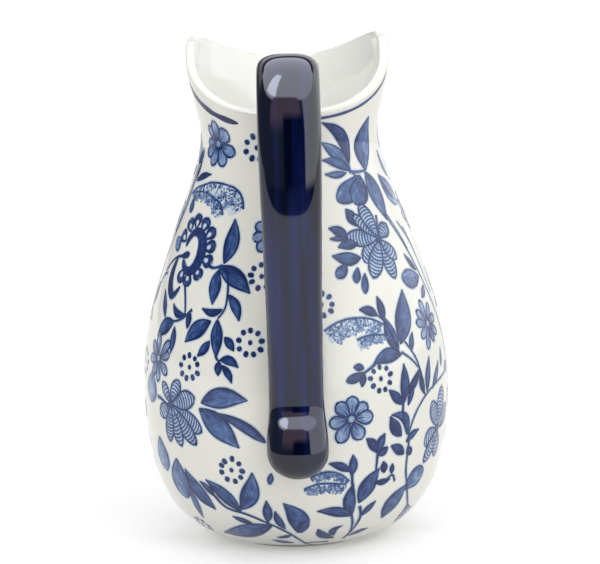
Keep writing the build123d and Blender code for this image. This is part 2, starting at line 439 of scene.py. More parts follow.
# ---- brushwork -----------------------------------------------------------------
# Every mark is a flat grid in skin millimetres (right, up) about an anchor (angle, height);
# painted() lays all marks of a piece on the skin together. A tone runs from 0 pale to 1 dark.
WASH_LIFT = 0.012           # how far washes and lines stand on the skin, mm
LINE_LIFT = 0.02
LAYER = 0.016               # how much higher each further layer stands
BLOOM_LIFT = 0.006          # cobalt run out beside a line: its lift and width in mm
BLOOM = 0.42
BLOOM_TONE = 0.27           # and its tone at the line
PAINT_FROM_Z = 1.0          # marks keep between these heights
PAINT_TO_Z = 129.0
MOUTH_FROM_Z = 105.0        # above this height they also keep this far under the rim
RIM_CLEAR = 1.6
VEINED_LEAF = 2.7           # narrower leaves have no vein, mm
LEAF_EDGES = (0.36, 0.27)   # half widths of the loaded and the thinner line of a leaf
LEAF_VEIN = 0.2
LEAF_POINTS = 20            # points along a leaf
PETAL_LINE = 0.25           # half width of a petal's outline and stripes
STEM_TAPER = 0.6            # share of a stem's width that is left at its end
SPRAY_POINTS = 60           # points along a spray, each with a row of dabs
SPRAY_STEP = 0.6            # spacing of the dabs in a row, mm
SPRAY_GAPS = 0.4            # share of the dabs that is missing


def local_scale(angle, height, turn=0.5, rise=0.2):
    """Skin millimetres per degree and per millimetre of height at a place, measured over a small
    turn in degrees and a small rise in millimetres."""
    here = wall(angle, height)
    along = np.linalg.norm(wall(angle + turn, height) - here, axis=-1) / turn
    up = np.linalg.norm(wall(angle, height + rise) - here, axis=-1) / rise
    return along, up


def local_of(anchor, place):
    """Place (angle, height) as skin millimetres (right, up) from the anchor."""
    along, up = local_scale((anchor[0] + place[0]) / 2, (anchor[1] + place[1]) / 2)
    return np.array([(place[0] - anchor[0]) * along, (place[1] - anchor[1]) * up])


def on_skin(anchor, local, lift, turn=0.3, rise=0.1):
    """Skin points at (right, up) millimetres from their anchors, raised along the skin's normal,
    which is the cross product of a small turn and a small rise to either side of the point.
    Degrees per millimetre grow where the body narrows."""
    along, up = local_scale(anchor[:, 0], anchor[:, 1])
    height = np.clip(anchor[:, 1] + local[:, 1] / up, PAINT_FROM_Z, PAINT_TO_Z)
    narrow = half_plan(height, 0.0)[0] / half_plan(anchor[:, 1], 0.0)[0]
    angle = anchor[:, 0] + local[:, 0] / (along * narrow)
    high = height > MOUTH_FROM_Z
    height[high] = np.minimum(height[high], rim_height(angle[high]) - RIM_CLEAR)
    point = wall(angle, height)
    around = wall(angle + turn, height) - wall(angle - turn, height)
    upward = wall(angle, height + rise) - wall(angle, height - rise)
    normal = np.cross(around, upward)
    return point + lift[:, None] * normal / np.linalg.norm(normal, axis=-1, keepdims=True)


def heading_vector(heading):
    """Direction (right, up) of a heading in degrees, counted from right toward up."""
    return np.array([math.cos(math.radians(heading)), math.sin(math.radians(heading))])


def stroke(store, anchor, path, half_width, tone, lift=LINE_LIFT, columns=2, bloom=BLOOM):
    """One stroke: grid path(u) + v half_width(u) side(u), v from -1 to 1. Lines have two columns
    and follow the line weight; washes, dabs and heavy strokes have more. Beside a line, as far as
    bloom, the cobalt has run out into the glaze: two ribbons whose tone falls from its edge to 0."""
    path = np.asarray(path, float)
    run = np.gradient(path, axis=0)
    run /= np.maximum(np.linalg.norm(run, axis=1, keepdims=True), 1e-9)
    side = np.stack([-run[:, 1], run[:, 0]], -1)
    v = np.linspace(-1, 1, columns)
    if columns == 2:
        half_width = half_width * bpy.context.scene.jug.line_weight
    width = np.broadcast_to(half_width, len(path))
    local = path[:, None] + (width[:, None] * v[None, :])[..., None] * side[:, None]
    u = np.repeat(np.linspace(0, 1, len(path))[:, None], columns, 1)
    uv = np.stack([u, np.repeat(v[None, :], len(path), 0) / 2 + 0.5], -1)
    store.append((anchor, local, uv, np.broadcast_to(tone, u.shape), lift))
    if bloom and lift >= LINE_LIFT:
        near = local[:, 0]
        far = local[:, -1]
        for ribbon, tones in (((near - bloom * side, near), (0, BLOOM_TONE)),
                              ((far, far + bloom * side), (BLOOM_TONE, 0))):
            fade = np.repeat(np.array([tones], float), len(path), 0)
            store.append((anchor, np.stack(ribbon, 1), uv[:, [0, -1]], fade, BLOOM_LIFT))
    return local


def leaf(store, base, tip, width, bend, tone, blunt, layer):
    """Leaf bowed to the left by bend times its length: half width is the sine of u to a power,
    pointed at both ends or blunt at the tip; wash darker toward one edge and the base, a loaded
    line down one side, a thinner one down the other, and a fading vein."""
    end = local_of(base, tip)
    u = np.linspace(0, 1, LEAF_POINTS)
    line = end * u[:, None] + bend * np.sin(math.pi * u)[:, None] * np.array([-end[1], end[0]])
    swell = np.sin(math.pi * u ** 1.35) ** 0.62 if blunt else np.sin(math.pi * u ** 0.88) ** 1.05
    v = np.linspace(-1, 1, 7)[None, :]
    shade = tone + 0.16 * np.abs(v) ** 5 + 0.09 * v + 0.14 * (1 - u[:, None]) ** 2 + 0.08 * u[:, None] ** 4
    wash = WASH_LIFT + layer * LAYER
    drawn = LINE_LIFT + layer * LAYER
    local = stroke(store, base, line, width / 2 * swell, shade, wash, 7)
    taper = 0.4 + 0.6 * np.sin(math.pi * u)
    weight = min(1.0, 0.55 + width / 9)
    stroke(store, base, local[:, -1], LEAF_EDGES[0] * weight * taper, min(tone + 0.34, 0.95), drawn)
    stroke(store, base, local[:, 0], LEAF_EDGES[1] * weight * taper, min(tone + 0.3, 0.92), drawn)
    if width > VEINED_LEAF:
        keep = int(LEAF_POINTS * 0.82)
        stroke(store, base, line[:keep], LEAF_VEIN * weight * (1.1 - u[:keep]), min(tone + 0.22, 0.88),
               drawn, bloom=0)


def petal(store, anchor, heading, start, length, width, tone, samples=14, stripes=0, inner=True,
          fullness=1.6, line_tone=0.86, layer=0, line=PETAL_LINE):
    """Rounded petal pointing along heading degrees from the anchor: half width is the root of
    the sine of u to a power, so it is fullest near its end; outlined, then veined or striped."""
    way = heading_vector(heading)
    u = np.linspace(0, 1, samples)
    middle = (start + u * length)[:, None] * way
    half = width / 2 * np.sin(math.pi * u ** fullness) ** 0.6
    v = np.linspace(-1, 1, 5)[None, :]
    shade = tone + 0.16 * np.abs(v) ** 4 + 0.2 * (1 - u[:, None]) ** 2
    drawn = LINE_LIFT + layer * LAYER
    local = stroke(store, anchor, middle, half, shade, WASH_LIFT + layer * LAYER, 5)
    stroke(store, anchor, np.vstack([local[:, 0], local[::-1, -1]]), line, line_tone, drawn)
    if inner:
        keep = samples // 2 + 2
        stroke(store, anchor, middle[1:keep], np.linspace(0.2, 0.07, keep - 1), line_tone, drawn, bloom=0)
    side = np.array([-way[1], way[0]])
    w = np.linspace(-1, 1, 7)[:, None]
    for k in range(stripes):
        at = 0.2 + 0.72 * k / max(stripes - 1, 1)
        reach = np.interp(at, u, half) * 0.9
        bow = (start + at * length + 0.5 * (1 - w ** 2)) * way + w * reach * side
        stroke(store, anchor, bow, PETAL_LINE * (1.1 - 0.35 * np.abs(w[:, 0])), 0.68, drawn, bloom=0)


def dot(store, anchor, place, radius, tone=0.85, stretch=1.0, heading=0.0, layer=0):
    """Dab: half width is the sine along its own length, drawn out along heading by stretch."""
    turn = np.linspace(0, math.pi, 8)
    line = np.asarray(place, float) - radius * stretch * np.cos(turn)[:, None] * heading_vector(heading)
    stroke(store, anchor, line, radius * np.sin(turn), tone, LINE_LIFT + layer * LAYER, 4)


def stem(store, places, width, tone):
    """Smooth line through (angle, height) places, thinning toward its end."""
    anchor = tuple(places[len(places) // 2])
    points = np.array([local_of(anchor, p) for p in places])
    count = max(12, 6 * len(points))
    line = smooth_through(points, count) if len(points) > 2 else np.linspace(points[0], points[1], count)
    stroke(store, anchor, line, width / 2 * np.linspace(1, STEM_TAPER, count), tone, LINE_LIFT + 4 * LAYER)


def hook(store, places, half_width, tone):
    """Curled tendril through (angle, height) places: half width is the sine along it to a power."""
    anchor = tuple(places[2])
    line = smooth_through([local_of(anchor, p) for p in places], 30)
    swell = half_width * np.sin(np.linspace(0.15, 3.05, 30)) ** 0.7
    stroke(store, anchor, line, swell, tone, LINE_LIFT + 4 * LAYER, 4)


def even_petals(count, reach, width, turn, tall, seed):
    """Petals (heading, length, width) evenly round a flower, each a little off its place;
    tall draws out those that point up or down."""
    draw = np.random.default_rng(seed)
    headings = turn + 360 * np.arange(count) / count + draw.normal(0, 4, count)
    stretch = 1 + (tall - 1) * np.abs(np.sin(np.radians(headings)))
    lengths = reach * stretch * (1 + draw.normal(0, 0.05, count))
    return [(heading, length, width) for heading, length in zip(headings, lengths)]


def daisy(store, angle, height, eye, petals):
    """Open flower: rounded petals, each (heading, length, width), about an outlined pale eye."""
    anchor = (angle, height)
    for k, (heading, length, width) in enumerate(petals):
        petal(store, anchor, heading, eye * 0.6, length - eye * 0.6, width, 0.36, layer=k % 3)
    dot(store, anchor, (0, 0), eye, 0.84, layer=4)
    dot(store, anchor, (0.03, 0.03), eye * 0.68, 0.36, layer=5)


def dot_ring(store, angle, height, radius, count, turn, seed):
    """Ring of dabs pointing at a middle one, each a little off its even place."""
    draw = np.random.default_rng(seed)
    for k in range(count):
        phase = turn + 360 * k / count + draw.normal(0, 3)
        reach = radius * (1 + draw.normal(0, 0.03))
        dot(store, (angle, height), reach * heading_vector(phase), 0.6 + 0.1 * draw.random(),
            0.82 + 0.14 * draw.random(), 1.1 + 0.3 * draw.random(), phase)
    dot(store, (angle, height), (0, 0), 0.62, 0.88)


def striped_blossom(store, angle, height, petals):
    """Peony of striped petals, each (heading, length, width), about a dark calyx."""
    anchor = (angle, height)
    for k, (heading, length, width) in enumerate(petals):
        petal(store, anchor, heading, 0.6, length, width, 0.24, samples=18,
              stripes=max(5, int(length * 0.95)), inner=False, fullness=1.35, layer=k % 5)
    dot(store, anchor, (0, 0), 1.2, 0.82, layer=5)


def ring_blossom(store, angle, height):
    """Dark horseshoe with a white heart, heavier on its right, scalloped on its outside by
    teardrops with pale hearts, and a pistil entering at its open left side."""
    anchor = (angle, height)
    for k, (right, up) in enumerate(SCALLOPS):
        heading = math.degrees(math.atan2(up, right))
        reach = math.hypot(right, up)
        petal(store, anchor, heading, reach - 2.0, 3.8, 3.2, 0.7, samples=12, inner=False,
              line_tone=0.93, layer=k % 2)
        petal(store, anchor, heading, reach - 1.5, 1.9, 1.25, 0.05, samples=8, inner=False,
              line_tone=0.4, layer=k % 2 + 1, line=0.1)
    turn = np.radians(np.linspace(-80, 243, 44))
    oval = np.stack([3.6 * np.sin(turn) + 0.3, 5.2 * np.cos(turn)], -1)
    ends = np.minimum(1, 6 * np.sin(np.linspace(0.06, math.pi - 0.06, 44)))
    stroke(store, anchor, oval, (1.2 + 0.5 * np.sin(turn)) * ends, 0.82, LINE_LIFT + 3 * LAYER, 6)
    pistil = smooth_through(PISTIL, 24)
    half = np.interp(np.linspace(0, 1, 24), *PISTIL_HALF_WIDTH)
    stroke(store, anchor, pistil, half, 0.88, LINE_LIFT + 4 * LAYER, 4)


def spray(store, arc, depth_start, depth_end, seed):
    """Feathery spray: a broken pale wash under an arched line, with rows of dabs hanging from
    the line, dark near it and paler toward the fringe."""
    anchor = tuple(arc[len(arc) // 2])
    line = smooth_through([local_of(anchor, p) for p in arc], SPRAY_POINTS)
    stroke(store, anchor, line, 0.28, 0.74)
    run = np.gradient(line, axis=0)
    run /= np.linalg.norm(run, axis=1, keepdims=True)
    hang = np.stack([run[:, 1], -run[:, 0]], -1) * np.sign(run[:, :1].sum() or 1)
    draw = np.random.default_rng(seed)
    share = np.linspace(0, 1, SPRAY_POINTS)
    depth = depth_start + (depth_end - depth_start) * share
    reach = depth * np.minimum(1, 5 * np.sin(math.pi * share) + 0.2)
    stroke(store, anchor, line + hang * reach[:, None] * 0.42, reach * 0.42, 0.12, WASH_LIFT, 5)
    for k in range(1, SPRAY_POINTS - 1):
        for step in range(int(reach[k] / SPRAY_STEP)):
            if draw.random() < SPRAY_GAPS:
                continue
            down = 0.45 + SPRAY_STEP * step + 0.3 * draw.random()
            at = line[k] + hang[k] * down + draw.normal(0, 0.12, 2)
            size = 0.2 + 0.2 * draw.random()
            lean = hang[k] + draw.normal(0, 0.5, 2)
            fading = 0.38 + 0.36 * draw.random() - 0.12 * step * SPRAY_STEP / depth_end
            stroke(store, anchor, [at - lean * size, at, at + lean * size],
                   np.array([0.4, 1, 0.3]) * size, fading, bloom=0)


TURNS = (0, 180)     # the pattern goes round the jug twice

# ---- layout of the flowers: angles from the handle in degrees, heights in mm ------
# leaf: base angle and height, tip angle and height, width, bow to the left, tone
LEAVES = [
    # neck, left
    (-75, 94.9, -71.5, 100.3, 1.2, 0.0, 0.6), (-73, 94.9, -55.5, 97.4, 1.5, 0.05, 0.84),
    # under the ring blossom
    (-33, 76.4, -31, 87.3, 3.8, -0.07, 0.6), (-36, 75.6, -18.3, 69.5, 4.2, 0.06, 0.64),
    (-35.5, 74.8, -36, 66.2, 3.2, -0.02, 0.6), (-28.5, 69, -22.5, 62.7, 2.3, 0.08, 0.62),
    (-30.5, 65.4, -41, 65.2, 1.6, 0.16, 0.76), (-50, 63, -59.5, 65, 1.6, 0.2, 0.74),
    (-64, 61, -70.5, 67.6, 1.8, 0.0, 0.6), (-56.5, 60.8, -68.5, 56, 3.7, -0.06, 0.6),
    (-55.5, 59.6, -56, 52.5, 1.9, 0.04, 0.64), (-47.5, 64, -47.5, 59.5, 1.6, 0.0, 0.76),
    (-35.5, 62.3, -48, 56.2, 3.9, -0.05, 0.62), (-32.5, 62.9, -31.5, 53.2, 3.1, 0.0, 0.66),
    (-35, 57.4, -40.5, 53.2, 2.0, 0.04, 0.7), (-28.5, 58.6, -24, 55.3, 1.9, 0.04, 0.72),
    (-30, 52.8, -22, 51.2, 2.0, 0.16, 0.7), (-29, 51.6, -24.5, 47.2, 1.6, 0.08, 0.74),
    (-30, 52.6, -30.3, 48.8, 1.8, -0.05, 0.76),
    # peony leaves, left
    (-38, 41.5, -18.3, 43, 4.9, 0.08, 0.56), (-39, 40, -22.5, 30.5, 5.7, 0.03, 0.56),
    # left base
    (-50, 17.5, -51, 9.5, 2.1, 0.04, 0.54), (-38.5, 12.8, -50.5, 24, 4.2, 0.04, 0.6),
    (-36.5, 16.5, -43, 20.5, 1.6, -0.08, 0.64), (-25.5, 12.8, -40, 21.8, 3.6, -0.06, 0.62),
    (-25.5, 13.5, -17.8, 25, 4.4, -0.1, 0.58), (-14.5, 10, -13.5, 17.2, 2.1, -0.03, 0.66),
    (-7, 8, -10.5, 14.3, 1.7, 0.05, 0.66), (-1, 6.6, -7, 18.3, 4.9, -0.14, 0.6),
    (0.5, 6.6, 4.5, 11.5, 2.3, 0.08, 0.66), (-12.5, 9.3, -42, 5.5, 4.9, 0.03, 0.6),
    (-22, 9.6, -31, 11.4, 1.5, 0.03, 0.7), (-4.5, 6, -12.5, 5, 1.1, 0.06, 0.7),
    (-4, 3, -16, 4.3, 1.5, 0.05, 0.72), (-11.5, 21, -10.4, 24.2, 1.2, 0.0, 0.6),
    # neck, right
    (39.5, 100, 20, 111.5, 3.0, -0.19, 0.72), (39.5, 98.2, 20.5, 106.3, 3.2, -0.06, 0.5),
    (39, 98, 20.5, 101.5, 2.3, -0.1, 0.6), (36, 97.8, 21, 98, 1.5, 0.05, 0.56),
    (52, 97.5, 61, 111.5, 5.7, 0.05, 0.54), (51.6, 98, 59.6, 110, 1.9, 0.22, 0.78),
    (51, 97.4, 58, 84.8, 4.8, 0.03, 0.56), (64, 96, 76, 88.4, 1.2, -0.12, 0.85),
    (78, 94.5, 73, 100.8, 1.4, 0.0, 0.44),
    # leaves by the right peony
    (34.6, 84.6, 30.4, 89.2, 2.8, -0.04, 0.76), (28, 81.6, 18.8, 84.9, 2.5, -0.12, 0.72),
    (27, 82, 18.5, 82.3, 0.9, 0.0, 0.64), (33, 80.3, 22, 80, 2.4, -0.08, 0.7),
    (33, 77, 18.5, 78.2, 3.1, 0.06, 0.6), (69.5, 70.8, 62, 75.8, 1.5, 0.05, 0.82),
    (72, 66.8, 66, 64, 1.7, 0.05, 0.6), (44.5, 54.5, 52, 67.4, 5.5, -0.04, 0.6),
    (43, 52.5, 38.6, 62, 3.3, 0.03, 0.62), (38, 61, 37, 67.2, 2.0, -0.04, 0.74),
    (35.5, 62.5, 27.3, 64.5, 2.1, -0.1, 0.72), (50, 52, 52.5, 56.8, 1.6, 0.04, 0.68),
    (44.5, 52, 30.5, 50.8, 3.5, -0.1, 0.66), (26.4, 50, 22, 50.6, 1.6, -0.05, 0.76),
    (26, 49, 25, 45.3, 1.6, 0.0, 0.76),
    # upright branch, right
    (43.6, 39.3, 44.8, 49.6, 2.8, -0.04, 0.68), (45, 41.5, 54, 47.5, 2.0, -0.06, 0.8),
    (46, 38.6, 50, 43.3, 1.5, 0.04, 0.72), (43, 39.2, 36.6, 43.6, 2.2, -0.02, 0.74),
    (56, 40.5, 54, 46.5, 1.8, 0.04, 0.8), (58, 40.6, 61.5, 49.6, 2.1, 0.03, 0.62),
    (62, 41, 69.5, 47.5, 1.8, -0.04, 0.56), (72.4, 45.6, 74, 50.4, 1.2, 0.0, 0.5),
    (45.5, 31, 37.4, 37, 2.3, -0.3, 0.62), (42.8, 31, 37, 36.8, 3.0, 0.06, 0.8),
    (45.3, 29, 52.8, 31.6, 1.6, 0.08, 0.66), (44.7, 26, 37.5, 29, 2.3, -0.05, 0.74),
    # sprigs and base, right
    (31.3, 27.8, 26.3, 32, 2.2, -0.08, 0.76), (31.7, 27.8, 34.7, 32.6, 2.2, 0.06, 0.68),
    (31.8, 27, 36.2, 28.9, 1.9, -0.05, 0.72), (20.7, 22.5, 21, 28.2, 2.0, -0.06, 0.68),
    (20.5, 23.6, 11.5, 26.3, 1.8, -0.06, 0.72), (23.5, 11, 22, 21.3, 3.0, 0.1, 0.6),
    (25.5, 14.5, 33, 24, 4.2, 0.05, 0.6), (31.5, 19.8, 39, 20, 1.4, -0.08, 0.8),
    (35.5, 22, 34.5, 25.2, 1.8, 0.0, 0.8), (39.3, 21.3, 39, 24.2, 1.2, 0.0, 0.8),
    (42, 8.5, 49.5, 18.8, 5.2, 0.08, 0.58), (28.5, 10.5, 34, 14.7, 1.7, 0.04, 0.66),
    (23.5, 11, 7, 13.3, 2.8, -0.08, 0.64), (19, 4, 8, 8.4, 2.3, 0.12, 0.76),
    (18, 5, 20.8, 8.6, 1.7, 0.3, 0.76), (28, 4.8, 36.5, 6, 1.1, 0.05, 0.7),
    # sides of the jug
    (-76.5, 99, -79.5, 105, 2.4, 0.08, 0.56), (-76.5, 99, -72.5, 103.5, 2.0, -0.08, 0.6),
    (56.5, 11, 62, 5, 2.6, 0.06, 0.6), (77, 43.5, 83, 45.5, 2.2, 0.06, 0.56),
    (94, 12, 99, 5.5, 2.6, 0.06, 0.6), (94, 12, 90, 5.5, 2.4, -0.06, 0.62),
    (92, 62, 86.5, 70, 3.2, 0.08, 0.62), (92, 62, 98.5, 68.6, 3.2, -0.08, 0.62),
    (92, 61.6, 84.6, 60.4, 2.5, 0.1, 0.7), (92, 61.6, 99.4, 59, 2.5, -0.1, 0.7),
    (90, 33, 83.4, 39, 3.2, 0.08, 0.62), (90, 33, 97, 37.6, 3.4, -0.08, 0.62),
    (90.5, 28, 84, 24.4, 2.5, -0.08, 0.7), (90.5, 28, 97, 25.6, 2.5, 0.08, 0.7),
    (91, 101, 86, 107.6, 3.0, 0.08, 0.62), (91, 101, 96.6, 107, 3.0, -0.08, 0.62),
    (91.4, 95.6, 96, 98.4, 2.0, -0.08, 0.72), (91.9, 20, 99, 22.6, 2.6, -0.08, 0.66),
    # behind the handle
    (-6, 92, -12, 97.5, 2.3, 0.1, 0.6), (-5, 91.5, 1, 97, 2.3, -0.1, 0.6),
    (4, 49, -3, 55, 2.8, 0.1, 0.6), (4, 49, 9.5, 54.6, 2.8, -0.1, 0.6)]
# leaves and buds with blunt ends, same order of values
BLUNT_LEAVES = [
    (-70, 90.6, -67.2, 87.2, 2.2, 0.0, 0.56), (-68.5, 80.6, -72.5, 78.0, 4.2, 0.0, 0.38),
    (-69.5, 46.8, -71.5, 38.5, 6.6, 0.0, 0.36), (-66, 30, -65, 21, 6.2, 0.0, 0.38),
    (-54.5, 25.4, -56, 14.6, 7.4, 0.0, 0.48), (-31, 39.3, -12, 32.2, 2.4, 0.06, 0.66),
    (64, 95.6, 79, 87.6, 5.0, -0.03, 0.38), (24.8, 76, 19.3, 72.8, 2.6, 0.04, 0.58),
    (30.2, 74.8, 28, 71.0, 1.9, 0.0, 0.64), (33.2, 73.2, 31.5, 68.2, 1.8, 0.0, 0.62),
    (70, 69.3, 54.5, 70.3, 4.8, 0.04, 0.52), (46.4, 27.8, 48.4, 25.4, 1.9, 0.0, 0.8),
    (49, 15.6, 60.5, 19.6, 5.8, 0.12, 0.46), (44, 96.8, 25.5, 91.2, 4.8, 0.06, 0.54),
    (45.4, 96.8, 36.6, 89.9, 5.6, 0.08, 0.58), (27, 49, 18.8, 47.2, 2.1, 0.03, 0.76)]
# stem: places (angle, height) along it, width, tone
STEMS = [
    ([(-34, 76), (-30.5, 74), (-29.5, 72), (-29, 68.7), (-30, 65), (-32.5, 63)], 0.75, 0.86),
    ([(-42.5, 76), (-39, 75.2), (-34, 76)], 0.9, 0.8),
    ([(-31.7, 54), (-31, 53), (-30, 52.6)], 0.8, 0.86),
    ([(-54, 70), (-52, 67), (-50.5, 64), (-50, 62.6)], 0.8, 0.84),
    ([(-46.5, 64.5), (-50, 62.5), (-56.5, 60.8), (-62, 60.8)], 0.8, 0.8),
    ([(-73, 71.6), (-77, 70.8), (-81, 67), (-88, 62)], 0.5, 0.62),
    ([(-80, 84), (-76, 91), (-75, 95), (-72, 96)], 0.6, 0.5),
    ([(-80, 84), (-79.6, 88), (-78, 94), (-76.5, 99)], 0.5, 0.5),
    ([(-64.5, 40.8), (-60, 40.2), (-56, 38.8)], 0.9, 0.84),
    ([(-41.5, 19.5), (-37.5, 17.5), (-34, 14.6), (-30, 13.3), (-25, 12.6), (-18.5, 11), (-13, 9.4),
      (-7, 7.2), (-1.5, 4), (1, 2.2)], 0.85, 0.86),
    ([(49.5, 86.5), (48.2, 84.2), (46.4, 82)], 0.8, 0.74),
    ([(60.5, 85.5), (67.5, 76.5), (72, 69.8), (75, 65), (80, 56), (82.5, 48), (86, 39.5),
      (90, 33)], 0.5, 0.8),
    ([(67, 83.6), (72.5, 78.5), (76, 72), (79, 64)], 0.4, 0.6),
    ([(57.5, 87), (62, 83), (67.5, 76.5)], 0.4, 0.7),
    ([(71, 82), (74, 77), (76.5, 71)], 0.35, 0.5),
    ([(73.5, 101.5), (77, 98), (81, 93.4)], 0.7, 0.4),
    ([(38, 98), (44, 97.6), (51, 97.6)], 0.9, 0.64),
    ([(42, 93), (42.6, 96.4), (39, 98)], 0.7, 0.66),
    ([(44.5, 52.5), (49, 50.4), (53.5, 47.5)], 0.6, 0.8),
    ([(47, 55), (51, 51.5), (54, 47.3), (56.5, 40)], 0.6, 0.8),
    ([(43.5, 54), (40.5, 58), (38, 61), (35.5, 62.5)], 0.7, 0.8),
    ([(31.5, 50.9), (29, 49.8), (26, 48.8)], 0.9, 0.8),
    ([(43.5, 41), (43.3, 39), (43.2, 36.5), (46.6, 30.6), (46.8, 26.7), (47.2, 21), (49, 18),
      (52.5, 14), (56.5, 11)], 0.8, 0.8),
    ([(46.3, 31), (49.5, 35.3), (57, 40), (65, 42), (77, 43.5)], 0.65, 0.76),
    ([(31.6, 27.8), (31.5, 26), (31.2, 22.6)], 0.8, 0.82),
    ([(21, 23), (21.4, 20), (22, 17)], 0.8, 0.82),
    ([(26, 14.6), (28, 10.8), (27.5, 7.5), (25.5, 3.8)], 0.8, 0.8),
    ([(22.8, 12), (25.4, 8.2), (26.4, 5.6)], 0.7, 0.8),
    ([(33, 19.6), (36.5, 19.8), (39.4, 21), (41.5, 19)], 0.8, 0.82),
    ([(17, 2.8), (9, 2.9), (2, 2.7)], 0.7, 0.76),
    ([(26, 4.4), (31, 4.6), (37, 6.2)], 0.5, 0.76),
    ([(100, 84), (96, 75), (93, 67), (92, 62), (91.5, 54), (92.5, 46), (90.5, 39), (90, 33),
      (90.5, 27), (92, 19), (94, 12)], 0.7, 0.8),
    ([(91, 101), (91.4, 96), (90.5, 90)], 0.6, 0.8),
    ([(-5.5, 88), (-5.5, 91.6)], 0.6, 0.8),
    ([(4, 45), (4, 49)], 0.6, 0.8)]
# hook: places along it, widest half width, tone
HOOKS = [([(-65.6, 76), (-67.4, 72.6), (-66.4, 69.2), (-62.6, 66.8), (-57.4, 69.4)], 1.3, 0.86)]
# daisy: angle, height, radius of its eye, petals as (heading, length, width)
DAISIES = [
    (-52.5, 105.2, 1.15, [(180, 4.6, 2.2), (-146, 5.7, 2.8), (-109, 5.9, 2.9), (-62, 6.1, 3.2),
                          (-20, 6.4, 3.0), (45, 5.0, 4.2), (134, 5.9, 2.2), (104, 6.0, 3.0)]),
    (20.4, 37.4, 1.25, [(85, 5.9, 3.5), (130, 5.8, 3.4), (188, 5.9, 3.3), (238, 6.8, 3.5),
                        (297, 6.1, 3.7), (2, 6.0, 3.6), (40, 5.7, 3.3)]),
    (-64.5, 50.6, 1.1, even_petals(8, 5.7, 2.4, 10, 1.12, 3)),
    (65, 57.5, 1.1, even_petals(9, 5.5, 2.2, 14, 1.1, 4)),
    (-10.5, 84, 1.1, even_petals(8, 5.0, 2.8, 10, 1.0, 5)),
    (0, 64, 1.1, even_petals(8, 4.7, 2.6, 12, 1.0, 6)),
    (89.5, 84.6, 1.1, even_petals(8, 5.4, 2.8, 12, 1.0, 7))]
# ring of dabs: angle, height, radius, dabs, turn
DOT_RINGS = [(-21.5, 105, 3.0, 8, 20), (-14, 73.8, 2.9, 9, 15), (-17.5, 57.6, 3.1, 9, 8),
             (-44, 50.2, 3.05, 9, 15), (-26.5, 24.5, 3.0, 9, 0), (11.3, 66.6, 2.9, 9, 0),
             (33.3, 46.8, 3.0, 9, 12), (-3, 28, 3.0, 9, 5), (-2, 41, 3.0, 9, 15),
             (5, 84, 3.0, 9, 5), (-58, 6.5, 2.4, 8, 0), (62, 7.5, 2.4, 8, 0), (98.6, 48, 3.0, 9, 5),
             (85, 15, 2.8, 9, 5)]
# striped blossom: angle, height, petals as (heading, length, width), back ones first
STRIPED = [
    (-54.5, 39.8, [(-28, 12.0, 4.8), (17, 9.0, 4.8), (-47, 12.4, 4.3), (-73, 10.5, 3.9),
                   (-100, 9.6, 3.5), (-147, 6.0, 3.9), (63, 6.7, 3.8), (126, 5.8, 2.7)]),
    (46.5, 80.8, [(218, 8.0, 4.6), (171, 9.5, 4.4), (241, 10.5, 4.5), (131, 8.6, 3.4),
                  (108, 9.5, 3.9), (281, 10.5, 4.0), (307, 7.0, 3.2), (35, 4.9, 3.8)]),
    (67.5, 30, [(73, 10.4, 5.0), (27, 9.0, 4.5), (118, 8.0, 4.4), (275, 7.0, 4.0), (234, 9.2, 3.7),
                (202, 6.8, 5.0)])]
RING_BLOSSOMS = [(-55, 78.3)]
# ring blossom: scallops and pistil, (right, up) from its centre in skin millimetres, and the
# pistil's half width by share of its length
SCALLOPS = [(-5.8, 3.2), (-3.9, 6.5), (-1.0, 7.9), (2.5, 7.3), (5.3, 5.2), (6.4, 1.9), (6.6, -1.7),
            (4.4, -5.2), (0.9, -7.3), (-2.2, -6.7)]
PISTIL = [(-12.1, -6.8), (-8.2, -3.2), (-5.0, -1.9), (-2.7, -1.4), (-1.4, -1.0), (-0.4, -0.8)]
PISTIL_HALF_WIDTH = ([0, 0.5, 0.72, 0.84, 0.95, 1], [0.2, 0.26, 0.42, 0.95, 0.8, 0.05])
# spray: places along its arch, depth where it starts and where it ends, seed
SPRAYS = [
    ([(-75, 91.5), (-68, 93.5), (-61, 94.5), (-54, 95.4), (-47, 95.6), (-39, 95.3), (-32, 94.3),
      (-27.5, 92), (-26, 89.8)], 2.4, 6.4, 3),
    ([(-71, 92), (-62, 92.8), (-53, 92.6), (-48, 91.8), (-43, 90.8), (-39, 88)], 2.0, 3.4, 5),
    ([(11.5, 60), (15, 61.4), (21, 62.5), (28, 62.5), (32.5, 61.8), (38, 60)], 5.0, 3.4, 7),
    ([(24.5, 57.2), (30, 58), (34.5, 57.8), (38.5, 57.5)], 3.0, 1.6, 8),
    ([(2, 19.6), (7, 20.8), (13, 20.8), (19, 20.2)], 2.6, 2.4, 9),
    ([(4.5, 22.6), (10, 24.0), (16.5, 23), (20, 21)], 2.4, 1.6, 10)]


def painted(name, store):
    """One piece from all the marks in store, laid on the skin."""
    anchors, grids, uvs, tones, lifts = zip(*store)
    counts = [grid.shape[0] * grid.shape[1] for grid in grids]
    starts = np.cumsum([0] + counts[:-1])
    quads = [grid_faces(*grid.shape[:2], start=start)[:, ::-1] for grid, start in zip(grids, starts)]
    points = on_skin(np.repeat(np.array(anchors, float), counts, axis=0),
                     np.concatenate([grid.reshape(-1, 2) for grid in grids]),
                     np.repeat(lifts, counts))
    brush_piece(name, points, np.concatenate(quads), np.concatenate([uv.reshape(-1, 2) for uv in uvs]),
                np.concatenate([np.ravel(tone) for tone in tones]))


